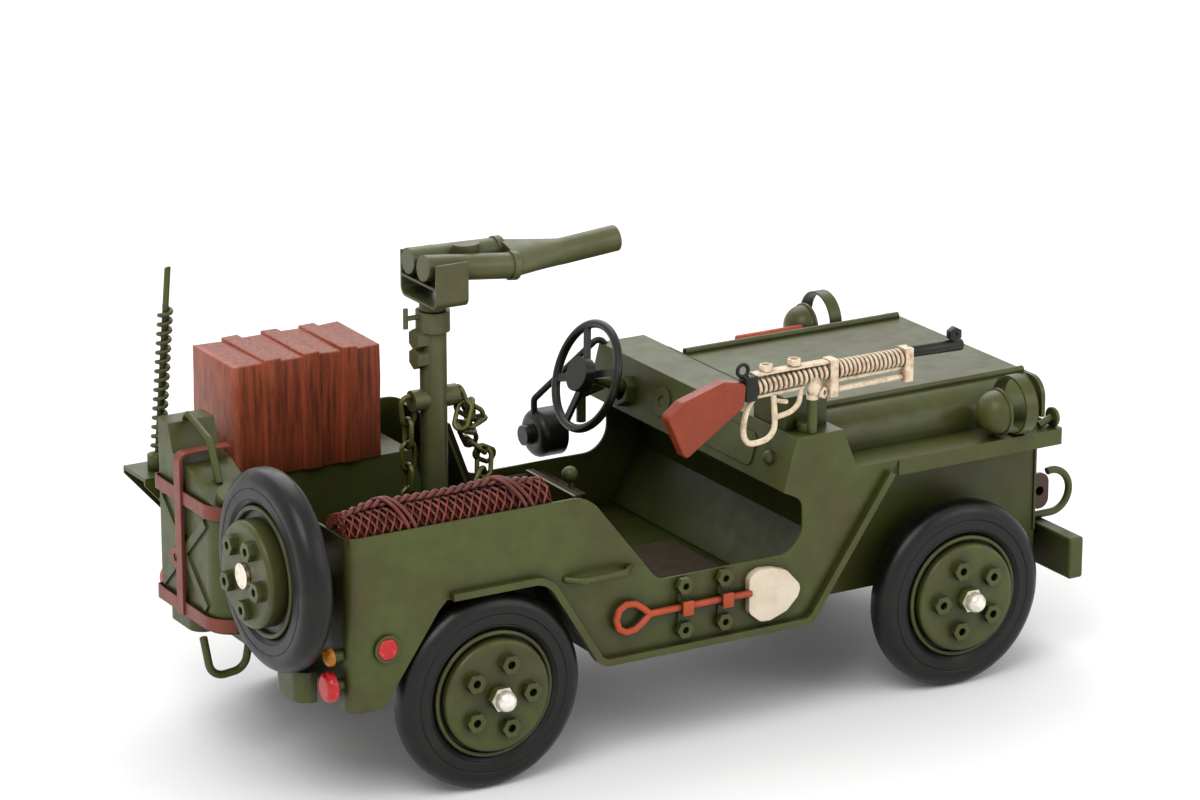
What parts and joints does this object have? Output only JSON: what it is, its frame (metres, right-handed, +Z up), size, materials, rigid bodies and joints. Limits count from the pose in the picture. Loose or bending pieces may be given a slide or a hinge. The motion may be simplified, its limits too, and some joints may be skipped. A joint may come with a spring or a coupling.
{
  "type": "model off-road car",
  "caption": "Decorative sheet-metal model of an open army 4x4 car with turning wheels, a swivelling roof-post ornament, a turning steering wheel and strapped-on gear.",
  "frame": {"origin": "on the ground under the middle of the whole model, with the wheels standing on the plane Z = 0", "axes": "+X towards the front bumper, +Y to the left side of the car, +Z up"},
  "size_m": [0.3058, 0.1467, 0.1538],
  "materials": {
    "olive_paint": "semi-gloss olive green paint with red-brown wear",
    "red_brown_paint": "satin red-brown paint",
    "cushion_brown": "satin dark brown paint",
    "black_paint": "satin black paint",
    "gun_grey": "satin dark olive grey paint",
    "cream_paint": "satin cream paint",
    "stock_brown": "satin red-brown paint",
    "bare_steel": "worn bare metal",
    "net_brown": "knotted red-brown mesh",
    "red_lens": "gloss red",
    "orange_lens": "gloss amber",
    "tyre_rubber": "matte black rubber, plain tread"
  },
  "bodies": {
    "car": {"tub_shell": "olive_paint", "floor_pan": "olive_paint", "wheel_boxes": "olive_paint", "side_strips": "olive_paint", "toe_board": "olive_paint", "cowl": "olive_paint", "dash_fittings": "olive_paint", "hood": "olive_paint", "engine_bay": "olive_paint", "fenders": "olive_paint", "front_bumper": "olive_paint", "tow_hooks": "olive_paint", "winch_saddles": "olive_paint", "chassis_rails": "olive_paint", "headlamps": "olive_paint", "lamp_guards": "olive_paint", "marker_lamps": "olive_paint", "lamp_bezels": "olive_paint", "rear_bumperettes": "olive_paint", "jerry_can": "olive_paint", "can_handle": "olive_paint", "spare_rim": "olive_paint", "antenna_shelf": "olive_paint", "gun_post": "olive_paint", "seat_frames": "olive_paint", "gear_lever": "olive_paint", "steering_column": "olive_paint", "antenna": "olive_paint", "chains": "olive_paint", "cowl_fittings": "olive_paint", "shovel_clips": "olive_paint", "side_handles": "olive_paint", "winch_drum": "red_brown_paint", "can_straps": "red_brown_paint", "crate": "red_brown_paint", "shovel_handle": "red_brown_paint", "haft": "red_brown_paint", "seat_pads": "cushion_brown", "spotlight": "black_paint", "rifle_barrel": "black_paint", "shovel_blade": "cream_paint", "rifle_receiver": "cream_paint", "rifle_stock": "stock_brown", "spare_hub": "bare_steel", "axles": "bare_steel", "net_roll": "net_brown", "red_lenses": "red_lens", "orange_lenses": "orange_lens", "spare_tyre": "tyre_rubber"},
    "gun": {"gun_cradle": "olive_paint", "gun_barrels": "gun_grey"},
    "steering": {"steering_wheel": "black_paint"},
    "wheel_front_right": {"tyre_front_right": "tyre_rubber", "rim_front_right": "olive_paint"},
    "wheel_front_left": {"tyre_front_left": "tyre_rubber", "rim_front_left": "olive_paint"},
    "wheel_rear_right": {"tyre_rear_right": "tyre_rubber", "rim_rear_right": "olive_paint"},
    "wheel_rear_left": {"tyre_rear_left": "tyre_rubber", "rim_rear_left": "olive_paint"}
  },
  "joints": [
    {"name": "gun_turn", "type": "hinge", "parent": "car", "child": "gun", "pos_m": [-0.06592, 0, 0.1344], "axis": [0, 0, 1], "continuous": true},
    {"name": "steering_turn", "type": "hinge", "parent": "car", "child": "steering", "pos_m": [0.01077, 0.0369, 0.0913], "axis": [-0.9397, 0, 0.342], "continuous": true},
    {"name": "front_right_roll", "type": "hinge", "parent": "car", "child": "wheel_front_right", "pos_m": [0.09258, -0.0568, 0.031], "axis": [0, 1, 0], "continuous": true},
    {"name": "front_left_roll", "type": "hinge", "parent": "car", "child": "wheel_front_left", "pos_m": [0.09258, 0.0568, 0.031], "axis": [0, 1, 0], "continuous": true},
    {"name": "rear_right_roll", "type": "hinge", "parent": "car", "child": "wheel_rear_right", "pos_m": [-0.07942, -0.0568, 0.031], "axis": [0, 1, 0], "continuous": true},
    {"name": "rear_left_roll", "type": "hinge", "parent": "car", "child": "wheel_rear_left", "pos_m": [-0.07942, 0.0568, 0.031], "axis": [0, 1, 0], "continuous": true}
  ]
}
